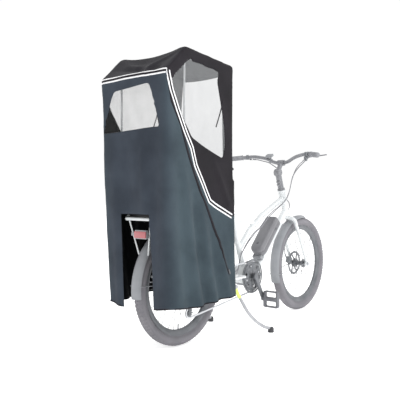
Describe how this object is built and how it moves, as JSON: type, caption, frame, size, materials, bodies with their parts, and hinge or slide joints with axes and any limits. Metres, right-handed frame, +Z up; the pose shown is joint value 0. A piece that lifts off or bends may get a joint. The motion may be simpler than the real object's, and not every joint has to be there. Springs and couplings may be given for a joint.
{
  "type": "cargo bicycle",
  "caption": "Compact longtail electric cargo bicycle on a two-leg stand, with a tall zip-up fabric passenger canopy with clear windows over its rear rack.",
  "frame": {"origin": "bottom centre of the bounding box, on the ground, in the middle plane of the bicycle", "axes": "+X forwards, +Y to the rider's left, +Z up"},
  "size_m": [1.8576, 0.6968, 1.466],
  "materials": {
    "alloy": "satin",
    "black_fabric": "woven, coated",
    "clear": "clear vinyl",
    "dark_metal": "satin grey",
    "frame_paint": "gloss pale grey-white",
    "lens": "red lens",
    "pad": "padded cover",
    "plastic": "matt grey",
    "rubber": "matt grey",
    "slate_fabric": "woven, coated",
    "steel": "brushed",
    "trim": "reflective tape",
    "tyre": "matt faded grey",
    "wood": "oiled"
  },
  "bodies": {
    "frame": {"frame_main": "frame_paint", "frame_rear": "frame_paint", "rack": "frame_paint", "rack_deck": "wood", "deck_pad": "pad", "rear_fender": "plastic", "tail_light": "plastic", "tail_lens": "lens", "motor": "alloy", "seat_collar": "alloy", "rear_axle": "steel", "battery_dock": "plastic", "rear_caliper": "dark_metal", "derailleur_body": "alloy", "chain": "steel", "frame_cables": "rubber", "canopy_poles": "alloy", "canopy_rear": "slate_fabric", "canopy_top": "black_fabric", "canopy_sides": "slate_fabric", "canopy_windows": "clear", "canopy_trim": "trim"},
    "steering": {"fork": "frame_paint", "stem": "alloy", "handlebar": "alloy", "grips": "rubber", "bar_controls": "dark_metal", "display": "plastic", "front_fender": "plastic", "front_caliper": "dark_metal", "front_axle": "steel", "front_hose": "rubber"},
    "front_wheel": {"front_tyre": "tyre", "front_rim": "dark_metal", "front_spokes": "steel", "front_hub": "alloy", "front_rotor": "steel"},
    "rear_wheel": {"rear_tyre": "tyre", "rear_rim": "dark_metal", "rear_spokes": "steel", "rear_hub": "alloy", "rear_rotor": "steel"},
    "cassette": {"cassette": "steel"},
    "crank": {"chainring": "dark_metal", "crank_arms": "alloy"},
    "pedal_right": {"pedal_right": "plastic"},
    "pedal_left": {"pedal_left": "plastic"},
    "brake_lever_right": {"lever_right": "alloy"},
    "brake_lever_left": {"lever_left": "alloy"},
    "seat": {"seat_post": "alloy", "saddle": "pad"},
    "kickstand": {"kickstand": "alloy"},
    "collar_lever": {"collar_lever": "alloy"},
    "battery": {"battery": "plastic"},
    "derailleur_cage": {"derailleur_cage": "alloy"},
    "jockey_upper": {"jockey_upper": "plastic"},
    "jockey_lower": {"jockey_lower": "plastic"},
    "zip_pull_right": {"zip_pull_right": "plastic"},
    "zip_pull_left": {"zip_pull_left": "plastic"},
    "shift_paddle": {"shift_paddle": "plastic"}
  },
  "joints": [
    {"name": "steering_turn", "type": "hinge", "parent": "frame", "child": "steering", "pos_m": [0.57091, 0, 0.31], "axis": [-0.342, 0, 0.9397], "range_deg": [-55, 55], "deforming": ["frame_cables"]},
    {"name": "front_wheel_spin", "type": "hinge", "parent": "steering", "child": "front_wheel", "pos_m": [0.6188, 0, 0.31], "axis": [0, 1, 0], "continuous": true},
    {"name": "rear_wheel_spin", "type": "hinge", "parent": "frame", "child": "rear_wheel", "pos_m": [-0.5942, 0, 0.31], "axis": [0, 1, 0], "continuous": true},
    {"name": "crank_spin", "type": "hinge", "parent": "frame", "child": "crank", "pos_m": [-0.0162, 0, 0.296], "axis": [0, 1, 0], "continuous": true},
    {"name": "cassette_spin", "type": "hinge", "parent": "frame", "child": "cassette", "pos_m": [-0.5942, -0.045, 0.31], "axis": [0, 1, 0], "continuous": true},
    {"name": "pedal_right_spin", "type": "hinge", "parent": "crank", "child": "pedal_right", "pos_m": [0.06307, -0.12, 0.15702], "axis": [0, 1, 0], "continuous": true},
    {"name": "pedal_left_spin", "type": "hinge", "parent": "crank", "child": "pedal_left", "pos_m": [-0.09547, 0.12, 0.43498], "axis": [0, 1, 0], "continuous": true},
    {"name": "brake_lever_right_pull", "type": "hinge", "parent": "steering", "child": "brake_lever_right", "pos_m": [0.37095, -0.2272, 1.0115], "axis": [0, 0, 1], "range_deg": [0, 16], "stiffness_Nm_per_rad": 0.6},
    {"name": "brake_lever_left_pull", "type": "hinge", "parent": "steering", "child": "brake_lever_left", "pos_m": [0.37095, 0.2272, 1.0115], "axis": [0, 0, -1], "range_deg": [0, 16], "stiffness_Nm_per_rad": 0.6},
    {"name": "shift_paddle_push", "type": "hinge", "parent": "steering", "child": "shift_paddle", "pos_m": [0.34652, -0.20525, 0.98159], "axis": [0, 0, -1], "range_deg": [0, 18], "stiffness_Nm_per_rad": 0.3},
    {"name": "seat_height", "type": "slide", "parent": "frame", "child": "seat", "axis": [-0.342, 0, 0.9397], "range_m": [-0.08, 0.1]},
    {"name": "collar_lever_open", "type": "hinge", "parent": "frame", "child": "collar_lever", "pos_m": [-0.18629, 0, 0.67413], "axis": [0, 1, 0], "range_deg": [0, 110]},
    {"name": "kickstand_fold", "type": "hinge", "parent": "frame", "child": "kickstand", "pos_m": [-0.2342, 0, 0.262], "axis": [0, 1, 0], "range_deg": [0, 108]},
    {"name": "battery_release", "type": "hinge", "parent": "frame", "child": "battery", "pos_m": [0.15738, 0, 0.42292], "axis": [-0.7269, 0, 0.6867], "range_deg": [0, 40]},
    {"name": "derailleur_cage_swing", "type": "hinge", "parent": "frame", "child": "derailleur_cage", "pos_m": [-0.5622, -0.048, 0.238], "axis": [0, 1, 0], "range_deg": [-12, 12], "stiffness_Nm_per_rad": 0.5},
    {"name": "jockey_upper_spin", "type": "hinge", "parent": "derailleur_cage", "child": "jockey_upper", "pos_m": [-0.5622, -0.048, 0.238], "axis": [0, 1, 0], "continuous": true},
    {"name": "jockey_lower_spin", "type": "hinge", "parent": "derailleur_cage", "child": "jockey_lower", "pos_m": [-0.5742, -0.048, 0.165], "axis": [0, 1, 0], "continuous": true},
    {"name": "zip_right_slide", "type": "slide", "parent": "frame", "child": "zip_pull_right", "axis": [-0.4453, 0, 0.8954], "range_m": [0, 0.33]},
    {"name": "zip_left_slide", "type": "slide", "parent": "frame", "child": "zip_pull_left", "axis": [-0.4453, 0, 0.8954], "range_m": [0, 0.33]}
  ],
  "couplings": [
    {"joint": "cassette_spin", "follows": "crank_spin", "ratio": 2.75}
  ]
}
